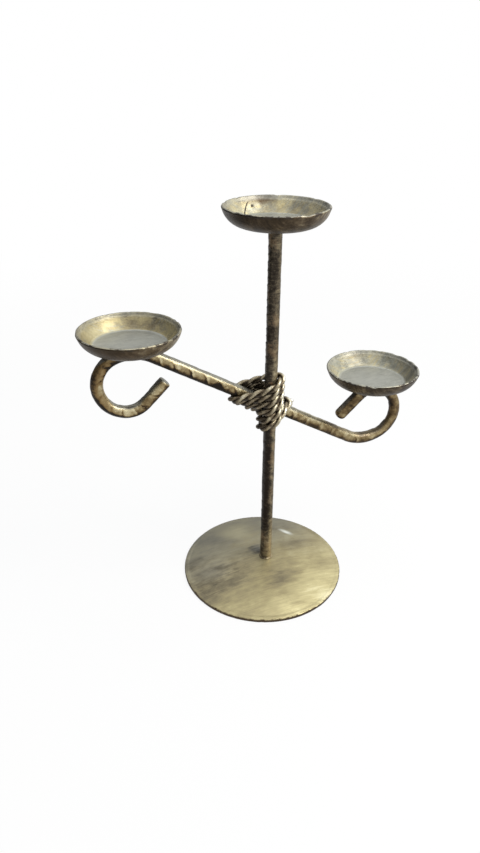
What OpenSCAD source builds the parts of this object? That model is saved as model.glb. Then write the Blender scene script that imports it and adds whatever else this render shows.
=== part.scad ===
// Small torchere for three candles, made of hammered steel wire.
// A straight stem stands on a pressed disc and carries the top pan. One rod, bent to a
// flat S, crosses behind the stem and ends in two hooks that carry the side pans. A rope
// of two twisted wires lashes the rods where they cross.
// Origin: middle of the stand's footprint box, on the floor. +Z is up, +X runs from the
// high pan to the low pan, and the stem is in front of the arm, towards -Y.

/* [Base disc] */
// Diameter of the pressed disc
base_d = 60; // [50:1:80]
// Height of the crown of its dome above the floor
base_rise = 5; // [4:0.5:8]
// Thickness of the disc's sheet
base_sheet = 1.2; // [0.8:0.1:1.8]
// Width of the flat ring that the disc stands on
base_land = 2; // [1:0.5:4]
// How far the disc's centre lies beside the stem's axis, towards the high pan
base_shift = 1.4; // [0:0.2:3]

/* [Rods] */
// Diameter of the rod that the stem and the arm are cut from
rod_d = 4.3; // [3.6:0.1:5]
// Chamfer on the sawn end of the arm, in the high hook
end_chamfer = 0.4; // [0.2:0.1:0.8]
// Length over which the other end, in the low hook, is ground to a dome
end_dome = 1.8; // [0.8:0.1:2]
// Radius of the hammer's edge that makes a dent
dent_radius = 4; // [2:0.5:6]
// Distance from one dent in the arm to the next
arm_dent_pitch = 6; // [4:0.2:8]
// Depth of the arm's dents
arm_dent_depth = 0.35; // [0.1:0.05:0.4]
// Distance from one dent in the stem to the next
stem_dent_pitch = 4.2; // [4:0.2:8]
// Depth of the stem's dents
stem_dent_depth = 0.15; // [0.1:0.05:0.4]
// How much the rod's radius swells in a bend, and again in the tight middle one
bend_swell = 0.02; // [0.01:0.01:0.05]
// Angle between the arm's dents and its front, towards its lower side
arm_dent_turn = 15; // [0:5:60]
// Angle between the stem's dents and its front, towards the high pan
stem_dent_turn = 70; // [0:5:90]

/* [Heights] */
// Height of the top pan's rim above the floor
stand_h = 136; // [120:1:170]
// Height at which the arm passes behind the stem
crossing_h = 69; // [60:1:80]

/* [Arm] */
// Fall of the arm's straight stretch, in degrees
arm_slope = 29.6; // [24:0.2:34]
// Half the length of the straight stretch
arm_half = 40.2; // [34:0.2:60]
// How far the middle of the arm lies beside the stem, towards the high pan
arm_slip = 3.2; // [0:0.2:5]
// Radius of a hook's first bend, next to the straight stretch
bend_1_r = 13.8; // [12.5:0.1:15]
// Turn of the first bend, in degrees
bend_1_turn = 53; // [45:1:60]
// Radius of the second bend, round the end of the hook
bend_2_r = 10; // [9:0.1:12]
// Turn of the second bend, in degrees
bend_2_turn = 141; // [132:1:145]
// Radius of the third bend, into the free leg
bend_3_r = 7.8; // [7:0.1:9]
// Turn of the third bend, in degrees
bend_3_turn = 61; // [50:1:70]
// Length of the high hook's free leg
high_leg_l = 9.9; // [5:0.1:11]
// Length of the low hook's free leg
low_leg_l = 10.9; // [5:0.1:11.4]

/* [Pans] */
// Diameter over a pan's rim
pan_d = 32.5; // [28:0.5:44]
// Diameter of the flat of its floor, outside
pan_floor_d = 22.4; // [18:0.2:24]
// Height of a pan
pan_h = 5.8; // [5:0.1:8]
// Thickness of a pan's sheet
pan_sheet = 0.9; // [0.6:0.1:1.2]
// Thickness of the round lip along a pan's rim
pan_lip_d = 1.4; // [1.2:0.1:1.8]
// How far the wall bulges beyond a straight cone
pan_bulge = 1.2; // [0.4:0.1:1.4]
// How far the low pan is set from the top of its hook back towards the stem
low_pan_inset = 1.1; // [0:0.1:2]

/* [Binding] */
// Diameter of each of the two wires that make the rope
wire_d = 1.2; // [0.8:0.05:1.2]
// Length of rope in which the two wires make one full turn round each other
twist_lay = 9; // [6:0.5:12]
// Spacing of the rope's turns, measured across them
turn_pitch = 2.6; // [2.6:0.1:3]
// Rise of the turns from the high pan's side to the low pan's side, in degrees
turn_slope = 24; // [18:1:30]
// Distance of the rope's start above the crossing, measured across the turns
first_turn = 10.3; // [9:0.1:12]
// Angle round the rods at which the rope starts, from the low pan's side by way of the back
wrap_start = 110; // [80:5:150]
// Number of turns
wrap_turns = 6.25; // [5.25:0.05:6.5]
// How far the turns bulge clear of the rods at their two ends
wrap_slack = 0.4; // [0:0.1:0.8]

/* [Welds] */
// Leg of the beads at the two ends of the stem
bead_leg = 0.7; // [0.5:0.1:1.6]
// Root gap that a bead fills between two pieces that only touch
root_gap = 0.15; // [0.1:0.05:0.3]
// Depth of the beads that hold the side pans on their hooks
hook_bead_h = 1.2; // [0.8:0.1:1.6]
// How far such a bead spreads beyond the rod under the pan
hook_bead_spread = 0.4; // [0.2:0.1:0.8]
// Radius of the tack between the stem and the arm, inside the binding
tack_r = 1.5; // [1:0.1:1.7]

/* [Hidden] */
$fn = 64;

rod_r = rod_d / 2;
cut = 1;                                     // how far a cutting body runs past a face
deg = 180 / PI;

base_colour = [0.56, 0.48, 0.28];
stem_colour = [0.32, 0.26, 0.17];
arm_colour = [0.52, 0.43, 0.25];
pan_colour = [0.60, 0.56, 0.43];
wire_colour = [0.40, 0.33, 0.21];
bead_colour = [0.26, 0.22, 0.16];

// ---- The hooks: three bends, worked out from the middle of the arm to its low end ----

bends = [[bend_1_r, bend_1_turn], [bend_2_r, bend_2_turn], [bend_3_r, bend_3_turn]];
last_bend = len(bends) - 1;

function heading(i) = i == 0 ? -arm_slope : heading(i - 1) + bends[i - 1][1];
function left_of(angle) = [-sin(angle), cos(angle)];
function bend_start(i) =
    i == 0 ? arm_half * [cos(arm_slope), -sin(arm_slope)]
           : bend_centre(i - 1) - bends[i - 1][0] * left_of(heading(i));
function bend_centre(i) = bend_start(i) + bends[i][0] * left_of(heading(i));
// Length of rod from the middle of the arm to the start of bend i
function run_to(i) = i == 0 ? arm_half : run_to(i - 1) + bends[i - 1][0] * bends[i - 1][1] / deg;

// Radius of the rod itself in bend i
function bend_rod_r(i) = rod_r + bend_swell * (i == 0 || i == last_bend ? 1 : 2);

crest = [for (i = [0:last_bend]) if (heading(i) <= 180 && heading(i + 1) > 180) i][0];
curl_top = bend_centre(crest) + [0, bends[crest][0]];
shoulder_top = [0, bend_1_r] - bend_centre(0);

// ---- Where the pieces stand ----

high_reach = arm_slip - shoulder_top[0];
low_reach = curl_top[0] - arm_slip - low_pan_inset;
stem_x = (high_reach - low_reach) / 2;       // puts the origin in the middle of the footprint
base_x = stem_x - base_shift;
arm_x = stem_x - arm_slip;
arm_y = rod_d + root_gap;
arm_z = crossing_h + arm_slip * tan(arm_slope);
top_seat = stand_h - pan_h;
high_seat = arm_z + shoulder_top[1] + bend_rod_r(0) + root_gap;
low_seat = arm_z + curl_top[1] + bend_rod_r(crest) + root_gap;

// ---- Base disc ----

dome_depth = base_rise - base_sheet;
dome_r = (pow(base_d / 2, 2) + pow(dome_depth, 2)) / (2 * dome_depth);
dome_z = base_rise - dome_r;

// Everything below the dome's upper face, as a profile to be turned round the disc's axis
module dome_profile(inset) {
    intersection() {
        translate([0, dome_z]) circle(r = dome_r - inset, $fn = 256);
        square([base_d / 2 - (inset > 0 ? base_land : 0), base_rise]);
    }
}

module dome(inset = 0) {
    translate([base_x, 0, 0]) rotate_extrude($fn = 128) dome_profile(inset);
}

module base_disc() {
    color(base_colour)
    translate([base_x, 0, 0]) rotate_extrude($fn = 128) difference() {
        dome_profile(0);
        translate([0, -cut]) square([base_d / 2 - base_land, cut]);
        dome_profile(base_sheet);
    }
}

// ---- Rods ----

// Reach of the binding along the stem and along the arm, from the crossing
rope_r = wire_d;                             // two wires side by side
last_turn = first_turn - turn_pitch * wrap_turns;
bound_top = (first_turn + rope_r) / cos(turn_slope);
bound_low = (last_turn - rope_r) / cos(turn_slope);
bound_high_arm = -(first_turn + rope_r) / sin(turn_slope + arm_slope);
bound_low_arm = -(last_turn - rope_r) / sin(turn_slope + arm_slope);

// One dent in a rod that lies along X, struck from +Z turned towards -Y
module dent(turn, depth) {
    rotate([turn, 0, 0])
    translate([0, 0, rod_r + dent_radius - depth])
    rotate([90, 0, 0]) cylinder(r = dent_radius, h = 2 * rod_d, center = true);
}

module stem() {
    margin = stem_dent_pitch / 2;
    color(stem_colour)
    translate([stem_x, 0, 0]) difference() {
        translate([0, 0, base_rise - base_sheet]) cylinder(d = rod_d, h = top_seat - base_rise + base_sheet);
        translate([-stem_x, 0, 0]) dome();
        for (z = [base_rise + stem_dent_pitch : stem_dent_pitch : top_seat - stem_dent_pitch / 2])
            if (z > crossing_h + bound_top + margin || z < crossing_h + bound_low - margin)
                translate([0, 0, z]) rotate([0, -90, 0]) rotate([90, 0, 0])
                    dent(-90 + stem_dent_turn, stem_dent_depth);
    }
}

lap = 0.3;                                   // a thinner stretch of rod runs this far into a thicker one
dent_half = sqrt(2 * dent_radius * arm_dent_depth);   // half the length of a dent in the arm
clear_run = dent_half + lap;                 // no dent's middle is nearer than this to such a lap

// The straight stretch, from the middle of the arm both ways, in the arm's own XY plane
module arm_straight(dents) {
    crossing = arm_slip / cos(arm_slope);
    count = floor((arm_half - clear_run) / arm_dent_pitch);
    margin = arm_dent_pitch / 2;
    rotate(-arm_slope) difference() {
        rotate([0, 90, 0]) cylinder(d = rod_d, h = 2 * (arm_half + lap), center = true);
        if (dents) for (i = [-count : count]) {
            x = i * arm_dent_pitch;
            if (x < crossing + bound_high_arm - margin || x > crossing + bound_low_arm + margin)
                translate([x, 0, 0]) dent(arm_dent_turn, arm_dent_depth);
        }
    }
}

// Bend i of a hook; its dents keep the spacing of the straight stretch
module arm_bend(i, dents, side) {
    r = bends[i][0];
    first = ceil((run_to(i) + clear_run) / arm_dent_pitch);
    last = floor((run_to(i + 1) - clear_run) / arm_dent_pitch);
    before = i == last_bend ? lap / r * deg : 0;
    after = i == 0 ? lap / r * deg : 0;
    translate(bend_centre(i)) rotate(heading(i) - 90) difference() {
        rotate(-before) rotate_extrude(angle = before + bends[i][1] + after, $fn = 128)
            translate([r, 0]) circle(r = bend_rod_r(i));
        if (dents) for (k = [first : last])
            rotate((k * arm_dent_pitch - run_to(i)) / r * deg)
                translate([r, 0, 0]) rotate(90) dent(side * arm_dent_turn, arm_dent_depth);
    }
}

// Half section of a free leg, from its lap in the last bend to its end
module leg_profile(length, domed) {
    dome_end_r = (pow(rod_r, 2) + pow(end_dome, 2)) / (2 * end_dome);
    if (domed) {
        square([rod_r, length - end_dome]);
        intersection() {
            square([rod_r, length]);
            translate([0, length - dome_end_r]) circle(r = dome_end_r);
        }
    } else {
        polygon([[0, 0], [rod_r, 0], [rod_r, length - end_chamfer],
                 [rod_r - end_chamfer, length], [0, length]]);
    }
}

module arm_leg(dents, side) {
    end = last_bend + 1;
    leg_l = side > 0 ? low_leg_l : high_leg_l;
    first = ceil((run_to(end) + clear_run) / arm_dent_pitch);
    last = floor((run_to(end) + leg_l - 2 * dent_half) / arm_dent_pitch);
    translate(bend_start(end)) rotate(heading(end)) difference() {
        rotate([0, 90, 0]) translate([0, 0, -lap]) rotate_extrude() leg_profile(lap + leg_l, side > 0);
        if (dents) for (k = [first : last])
            translate([k * arm_dent_pitch - run_to(end), 0, 0]) dent(side * arm_dent_turn, arm_dent_depth);
    }
}

// The whole rod in its place. Turned half round, the low hook is the high one, but for
// the length and the end of its leg.
module bent_rod(dents) {
    translate([arm_x, arm_y, arm_z]) rotate([90, 0, 0]) {
        arm_straight(dents);
        for (half = [0, 1]) rotate(180 * half) {
            for (i = [0 : last_bend]) arm_bend(i, dents, 1 - 2 * half);
            arm_leg(dents, 1 - 2 * half);
        }
    }
}

module arm() {
    color(arm_colour) bent_rod(true);
}

// ---- Pans ----

wall_run = (pan_d - pan_floor_d) / 2;
wall_chord = norm([wall_run, pan_h]);
wall_r = pow(wall_chord, 2) / (8 * pan_bulge) + pan_bulge / 2;
wall_centre = [pan_floor_d / 2 + wall_run / 2 - (wall_r - pan_bulge) * pan_h / wall_chord,
               pan_h / 2 + (wall_r - pan_bulge) * wall_run / wall_chord];

// Half section of a bowl of the pan's outer form, moved inwards by inset
module bowl_profile(inset) {
    translate([0, inset]) square([wall_centre[0], pan_h - inset]);
    intersection() {
        translate([0, inset]) square([pan_d, pan_h - inset]);
        translate(wall_centre) circle(r = wall_r - inset, $fn = 128);
    }
}

module pan(x, y, seat) {
    lip_r = pan_lip_d / 2;
    color(pan_colour)
    translate([x, y, seat]) rotate_extrude($fn = 128) {
        intersection() {
            difference() {
                bowl_profile(0);
                bowl_profile(pan_sheet);
                translate([0, pan_sheet]) square([wall_centre[0], pan_h]);
            }
            square([pan_d, pan_h - lip_r]);
        }
        translate([pan_d / 2 - lip_r, pan_h - lip_r]) circle(r = lip_r, $fn = 32);
    }
}

module top_pan() {
    pan(stem_x, 0, top_seat);
}

module high_pan() {
    pan(stem_x - high_reach, arm_y, high_seat);
}

module low_pan() {
    pan(stem_x + low_reach, arm_y, low_seat);
}

// ---- Binding: a rope of two wires, wound round both rods in sloping turns ----

hug = rod_r + rope_r + 0.05;                 // from a rod's axis to the rope's, with its clearance
along = [cos(turn_slope), 0, sin(turn_slope)];
across = [-sin(turn_slope), 0, cos(turn_slope)];
stem_oval = hug / cos(turn_slope) + wrap_slack;
arm_oval = hug / sin(turn_slope + arm_slope) + wrap_slack;

// A turn runs in a plane that cuts each rod in an oval. These give how far an oval
// reaches in a direction, and the point where it does.
function reach(angle, middle, half) =
    middle * [cos(angle), sin(angle)] + norm([half * cos(angle), hug * sin(angle)]);
function touch(angle, middle, half) =
    middle + [half * half * cos(angle), hug * hug * sin(angle)]
        / norm([half * cos(angle), hug * sin(angle)]);

// The rope's axis after it has swept an angle from its start: the taut line round both ovals
function wrap_point(swept) =
    let (angle = wrap_start - swept,
         offset = first_turn - turn_pitch * swept / 360,
         stem_mid = [offset * tan(turn_slope), 0],
         arm_mid = [-offset / tan(turn_slope + arm_slope), arm_y],
         on_stem = reach(angle, stem_mid, stem_oval) > reach(angle, arm_mid, arm_oval),
         p = on_stem ? touch(angle, stem_mid, stem_oval) : touch(angle, arm_mid, arm_oval))
    [stem_x, 0, crossing_h] + p[0] * along + [0, p[1], 0] + offset * across;

wrap_step = 4;
wrap = [for (swept = [0 : wrap_step : 360 * wrap_turns]) wrap_point(swept)];
wrap_runs = [for (i = 0, run = 0; i < len(wrap);
                  run = run + (i < len(wrap) - 1 ? norm(wrap[i + 1] - wrap[i]) : 0), i = i + 1)
             [run, i]];
rope_l = wrap_runs[len(wrap) - 1][0];

// The rope's axis at a distance from its start
function rope_point(run) =
    let (f = lookup(run, wrap_runs), i = min(floor(f), len(wrap) - 2))
    wrap[i] + (f - i) * (wrap[i + 1] - wrap[i]);

function unit(v) = v / norm(v);
function square_to(v, axis) = unit(v - (v * axis) * axis);

wire_sides = 8;
rings_per_lay = 11;
ring_count = ceil(rope_l / twist_lay * rings_per_lay);
ring_gap = rope_l / ring_count;
wire_offset = wire_d / 2 + 0.01;

// Axis of one wire: it winds left-handed round the rope's axis
function wire_point(i, phase) =
    let (run = min(max(i, 0), ring_count) * ring_gap,
         axis = unit(rope_point(min(run + ring_gap, rope_l)) - rope_point(max(run - ring_gap, 0))),
         u = square_to(across, axis),
         v = cross(axis, u),
         angle = phase - 360 * run / twist_lay)
    rope_point(run) + wire_offset * (cos(angle) * u + sin(angle) * v);

module wire(phase) {
    centres = [for (i = [0 : ring_count]) wire_point(i, phase)];
    points = [for (i = [0 : ring_count])
        let (axis = unit(centres[min(i + 1, ring_count)] - centres[max(i - 1, 0)]),
             u = square_to(across, axis),
             v = cross(axis, u))
        for (k = [0 : wire_sides - 1])
            centres[i] + wire_d / 2 * (cos(360 * k / wire_sides) * u + sin(360 * k / wire_sides) * v)];
    sides = [for (i = [0 : ring_count - 1], k = [0 : wire_sides - 1])
        let (a = i * wire_sides + k, b = i * wire_sides + (k + 1) % wire_sides)
        each [[a, a + wire_sides, b + wire_sides], [a, b + wire_sides, b]]];
    caps = [[for (k = [0 : wire_sides - 1]) k],
            [for (k = [wire_sides - 1 : -1 : 0]) ring_count * wire_sides + k]];
    polyhedron(points = points, faces = concat(sides, caps));
}

module binding_wire_a() {
    color(wire_colour) wire(0);
}

module binding_wire_b() {
    color(wire_colour) wire(180);
}

// ---- Welds ----

// A quarter-round bead in the corner between the stem and a face at height z
module stem_bead(z, up) {
    translate([stem_x, 0, z]) mirror([0, 0, up ? 0 : 1]) rotate_extrude() intersection() {
        translate([rod_r, 0]) circle(r = bead_leg);
        translate([rod_r, up ? -base_sheet / 2 : 0]) square([bead_leg, bead_leg + base_sheet]);
    }
}

module stem_foot_weld() {
    color(bead_colour) difference() {
        stem_bead(base_rise, true);
        dome();
    }
}

module top_pan_weld() {
    color(bead_colour) stem_bead(top_seat, false);
}

// A bead between a hook and the pan on it
module hook_bead(x, seat) {
    color(bead_colour) difference() {
        translate([x, arm_y, seat - hook_bead_h])
            cylinder(r1 = rod_r - hook_bead_spread, r2 = rod_r + hook_bead_spread, h = hook_bead_h);
        bent_rod(false);
    }
}

module high_pan_weld() {
    hook_bead(stem_x - high_reach, high_seat);
}

module low_pan_weld() {
    hook_bead(stem_x + low_reach + low_pan_inset / 2, low_seat);
}

module crossing_weld() {
    color(bead_colour) difference() {
        translate([stem_x, 0, crossing_h]) rotate([-90, 0, 0]) cylinder(r = tack_r, h = arm_y);
        translate([stem_x, 0, 0]) cylinder(d = rod_d, h = stand_h);
        bent_rod(false);
    }
}

base_disc();
stem();
arm();
top_pan();
high_pan();
low_pan();
binding_wire_a();
binding_wire_b();
stem_foot_weld();
top_pan_weld();
high_pan_weld();
low_pan_weld();
crossing_weld();
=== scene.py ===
"""Looks of a small hammered candle stand: black metal rubbed with gold, lashed with wire.

Lengths are in millimetres until a piece is finished, when its mesh is scaled to metres. Only
the floor, the cards and the lamps are in metres from the start.
"""
import math
import random

import bmesh
import bpy
from mathutils import Matrix, Vector, noise


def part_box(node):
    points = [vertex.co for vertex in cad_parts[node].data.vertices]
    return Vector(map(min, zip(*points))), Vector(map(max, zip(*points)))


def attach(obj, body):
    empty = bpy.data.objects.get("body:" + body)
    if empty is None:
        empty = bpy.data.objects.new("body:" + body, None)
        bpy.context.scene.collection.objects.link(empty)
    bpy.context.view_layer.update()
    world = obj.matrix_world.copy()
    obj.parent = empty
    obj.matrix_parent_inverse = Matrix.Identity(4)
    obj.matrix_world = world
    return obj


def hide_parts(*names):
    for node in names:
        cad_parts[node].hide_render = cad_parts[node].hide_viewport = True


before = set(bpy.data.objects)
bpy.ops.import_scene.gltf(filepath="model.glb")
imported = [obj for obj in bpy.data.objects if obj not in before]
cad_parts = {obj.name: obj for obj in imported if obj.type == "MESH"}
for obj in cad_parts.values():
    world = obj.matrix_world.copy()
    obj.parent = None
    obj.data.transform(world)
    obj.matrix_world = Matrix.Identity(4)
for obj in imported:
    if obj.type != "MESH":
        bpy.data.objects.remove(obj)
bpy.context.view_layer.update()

MM = 0.001


def corner(node, which):
    """Lowest (0) or highest (1) corner of a node's box, in millimetres."""
    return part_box(node)[which] / MM


def middle(node):
    return (corner(node, 0) + corner(node, 1)) / 2


# ---- Sizes that the construction also uses ----

ROD_R = 2.15
END_CHAMFER = 0.4
END_DOME = 1.8

ARM_SLOPE = math.radians(29.6)
ARM_HALF = 40.2
BENDS = ((13.8, math.radians(53)), (10.0, math.radians(141)), (7.8, math.radians(61)))
HIGH_LEG = 9.9
LOW_LEG = 10.9

PAN_R = 16.25
PAN_FLOOR_R = 11.2
PAN_H = 5.8
PAN_SHEET = 0.9
PAN_BULGE = 1.2

DISC_R = 30.0
DISC_RISE = 5.0
DISC_SHEET = 1.2

WIRE_R = 0.6
TWIST_LAY = 9.0
TURN_PITCH = 2.6
TURN_SLOPE = math.radians(24)
FIRST_TURN = 10.3
WRAP_START = 110
WRAP_TURNS = 6.25

FRONT = Vector((0, -1, 0))
UP = Vector((0, 0, 1))

# ---- Places, read from the frame ----

STEM = middle("stem")
ARM = middle("arm")
DISC = middle("base_disc")
STEM_FOOT = corner("stem", 0).z
STEM_TOP = corner("stem", 1).z
CROSSING = middle("crossing_weld").z


def add_object(name, data):
    """Puts a new object in the scene."""
    made = bpy.data.objects.new(name, data)
    bpy.context.scene.collection.objects.link(made)
    return made


def add_mesh(bm, name, material):
    """Puts a mesh in the scene as a new object."""
    mesh = bpy.data.meshes.new(name)
    bm.to_mesh(mesh)
    bm.free()
    mesh.materials.append(material)
    return add_object(name, mesh)


# ---- Camera, at the place from which the photograph was taken ----

FOCAL_PX = 673.8            # focal length in pixels of the 480 x 853 frame
FRAME_PX = 853              # the frame's longer side
SENSOR_MM = 36
CAMERA_FROM_STEM = Vector((-67.29, -191.56, 175.47))
CAMERA_PITCH = math.radians(29.27)
CAMERA_YAW = math.radians(16.48)
CAMERA_ROLL = math.radians(0.36)


def make_camera():
    """The photograph's view of the stand."""
    data = bpy.data.cameras.new("camera")
    data.sensor_width = SENSOR_MM
    data.lens = FOCAL_PX * SENSOR_MM / FRAME_PX
    data.clip_start = 0.01
    camera = add_object("camera", data)
    turn = (Matrix.Rotation(-CAMERA_YAW, 4, "Z")
            @ Matrix.Rotation(math.pi / 2 - CAMERA_PITCH, 4, "X")
            @ Matrix.Rotation(CAMERA_ROLL, 4, "Z"))
    place = Vector((STEM.x, STEM.y, 0)) + CAMERA_FROM_STEM
    camera.matrix_world = Matrix.Translation(place * MM) @ turn
    bpy.context.scene.camera = camera


# ---- Shader expressions ----

MIX_INPUTS = (0, 6, 7)      # a Mix node's sockets for the share and the two colours
MIX_OUTPUT = 2              # and its socket for the colour between them


class Value:
    """A number in a material. Arithmetic on it adds Math nodes."""

    def __init__(self, finish, socket):
        self.finish = finish
        self.socket = socket

    def __add__(self, other):
        return self.finish.math("ADD", self, other)

    def __radd__(self, other):
        return self.finish.math("ADD", other, self)

    def __sub__(self, other):
        return self.finish.math("SUBTRACT", self, other)

    def __rsub__(self, other):
        return self.finish.math("SUBTRACT", other, self)

    def __mul__(self, other):
        return self.finish.math("MULTIPLY", self, other)

    def sway(self, amount):
        """The number less a half, times an amount: noise that swings evenly about 0."""
        return (self - 0.5) * amount


class Finish:
    """A material, or the world, written as expressions on where a point of the surface is."""

    def __init__(self, owner):
        """The owner is the world, or a name for a new material."""
        if isinstance(owner, str):
            owner = bpy.data.materials.new(owner)
        owner.use_nodes = True
        self.owner = owner
        self.tree = owner.node_tree
        self.tree.nodes.clear()

    def plug(self, socket, given):
        """Links a value to a socket, or sets the socket where the value is a constant."""
        if isinstance(given, Value):
            given = given.socket
        if isinstance(given, bpy.types.NodeSocket):
            self.tree.links.new(given, socket)
        elif socket.type == "RGBA":
            socket.default_value = (*given, 1.0)
        else:
            socket.default_value = given

    def add(self, kind, inputs=None, **settings):
        """Adds a node: its settings first, then the values or links of its sockets."""
        node = self.tree.nodes.new("ShaderNode" + kind)
        for name, setting in settings.items():
            setattr(node, name, setting)
        for name, given in (inputs or {}).items():
            self.plug(node.inputs[name], given)
        return node

    def tones(self, number, stops):
        """A colour that changes with a number: each stop is a number and its colour."""
        node = self.add("ValToRGB", {"Fac": number})
        elements = node.color_ramp.elements
        elements.remove(elements[1])
        for i, (place, colour) in enumerate(stops):
            element = elements.new(place) if i else elements[0]
            element.position = place
            element.color = (*colour, 1.0)
        return node.outputs[0]

    def math(self, operation, *numbers):
        node = self.add("Math", dict(enumerate(numbers)), operation=operation)
        return Value(self, node.outputs[0])

    def step(self, number, low, high):
        """Rises smoothly from 0 at low to 1 at high, or falls where high is the smaller."""
        flip = high < low
        node = self.add("MapRange",
                        {"Value": number, "From Min": min(low, high), "From Max": max(low, high),
                         "To Min": 1.0 if flip else 0.0, "To Max": 0.0 if flip else 1.0},
                        interpolation_type="SMOOTHSTEP")
        return Value(self, node.outputs[0])

    def band(self, number, centre, reach, core):
        """1 where a number is within core of a centre, falling to 0 at reach from it."""
        return self.step(self.math("ABSOLUTE", number - centre), reach, core)

    def at(self, size=1.0, centre=(0, 0, 0), turn=(0, 0, 0)):
        """Coordinates in units of size (mm, one or three), from a centre and along turned axes."""
        size = (size,) * 3 if isinstance(size, (int, float)) else size
        place = self.add("TexCoord").outputs["Object"]
        node = self.add("Mapping", {"Vector": place, "Location": Vector(centre) * MM,
                                    "Rotation": turn, "Scale": Vector(size) * MM},
                        vector_type="TEXTURE")
        return node.outputs[0]

    def noise(self, size, shift=(0, 0, 0), turn=(0, 0, 0), detail=3.0, rough=0.6):
        """Noise from 0 to 1 whose patches are about size mm across."""
        node = self.add("TexNoise", {"Vector": self.at(size, shift, turn), "Scale": 1.0,
                                     "Detail": detail, "Roughness": rough})
        return Value(self, node.outputs[0])

    def spot(self, size, centre, turn=(0, 0, 0)):
        """Distance from a centre, in units of size: 1 at the edge of the spot."""
        node = self.add("VectorMath", {0: self.at(size, centre, turn)}, operation="LENGTH")
        return Value(self, node.outputs["Value"])

    def along(self, centre, turn=(0, 0, 0)):
        """The three coordinates of a point from a centre, in millimetres."""
        node = self.add("SeparateXYZ", {0: self.at(1.0, centre, turn)})
        return [Value(self, socket) for socket in node.outputs]

    def facing(self, direction):
        """1 where the surface faces the direction, -1 where it faces away."""
        normal = self.add("NewGeometry").outputs["Normal"]
        node = self.add("VectorMath", {0: normal, 1: Vector(direction).normalized()},
                        operation="DOT_PRODUCT")
        return Value(self, node.outputs["Value"])

    def measured(self, name):
        """A number that the mesh carries on its points."""
        return Value(self, self.add("Attribute", attribute_name=name).outputs["Fac"])

    def mix(self, share, first, second):
        """A colour between two: the first at share 0, the second at share 1."""
        node = self.add("Mix", data_type="RGBA")
        for socket, given in zip(MIX_INPUTS, (share, first, second)):
            self.plug(node.inputs[socket], given)
        return node.outputs[MIX_OUTPUT]

    def metal(self, colour, metallic, roughness, relief, depth, sheen=0.5):
        """Ends the material: relief is a height from 0 to 1, depth what 1 stands for in mm."""
        bump = self.add("Bump", {"Height": relief, "Strength": 1.0, "Distance": depth * MM})
        return self.surface(self.add("BsdfPrincipled", {
            "Base Color": colour, "Metallic": metallic, "Roughness": roughness,
            "Specular IOR Level": sheen, "Normal": bump.outputs[0]}))

    def surface(self, shader, kind="OutputMaterial"):
        """Ends the material with a shader."""
        self.tree.nodes.active = self.add(kind, {"Surface": shader.outputs[0]})
        return self.owner


# ---- Finishes: tones and weights were chosen by comparing renders with the photograph ----

BLACK = (0.017, 0.012, 0.008)
UMBER = (0.057, 0.036, 0.017)
BRONZE = (0.160, 0.109, 0.050)
GOLD = (0.34, 0.270, 0.145)
PALE_GOLD = (0.72, 0.65, 0.43)
OCHRE = (0.27, 0.175, 0.070)
RUST = (0.170, 0.092, 0.042)
# Painted sky reflection on the arm's top, and a paler one for its painted highlight
SKY_REFLECTION = (0.22, 0.225, 0.205)
PALE_SKY_REFLECTION = (0.44, 0.44, 0.40)
# Direction towards the lamp: the rods, the wire and the beads are painted lighter where they face it,
# as painted light
LIGHT_SIDE = (0.80, -0.30, 0.50)
# The side of the stem away from the light, towards the high pan, which takes painted shade
AWAY_FROM_LIGHT = (-0.96, -0.29, 0.0)

# A ramp's stops: how worn the metal is and how lit it is painted, and its colour there
ARM_RAMP = ((0.14, BLACK), (0.33, UMBER), (0.50, BRONZE), (0.68, GOLD), (0.98, PALE_GOLD))
# Stretches of the arm that are lighter (+) or darker (-), from rubbing and, at 30, from the low pan's
# painted shadow: middle and half of each, in mm from the arm's middle towards the low pan, and how
# much
ARM_TONES = ((-88, 7, 0.08), (-77, 5, 0.08), (-20, 8, -0.07), (23, 5, 0.09), (30, 5, -0.08),
             (45, 6, 0.09), (53, 5, 0.05), (87, 7, -0.15))
# The same on one side of the arm, mostly painted light (+) and shade (-), with the low pan's painted
# shadow on the crown at 30: middle, reach and core, the side, how much there and all round
ARM_PATCHES = ((-61, 7, 3, "below", 0.28, -0.13), (56, 8, 4, "below", -0.22, 0.06),
               (23, 13, 7, "top", 0.10, 0.0), (30, 5, 2, "crown", -0.10, 0.0),
               (51, 8, 4, "crown", -0.12, 0.0))
OCHRE_RUN = -65.0           # where the high hook is brownest
DARK_SPOT_SIZE = (3.6, 4.0, 1.9)


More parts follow.
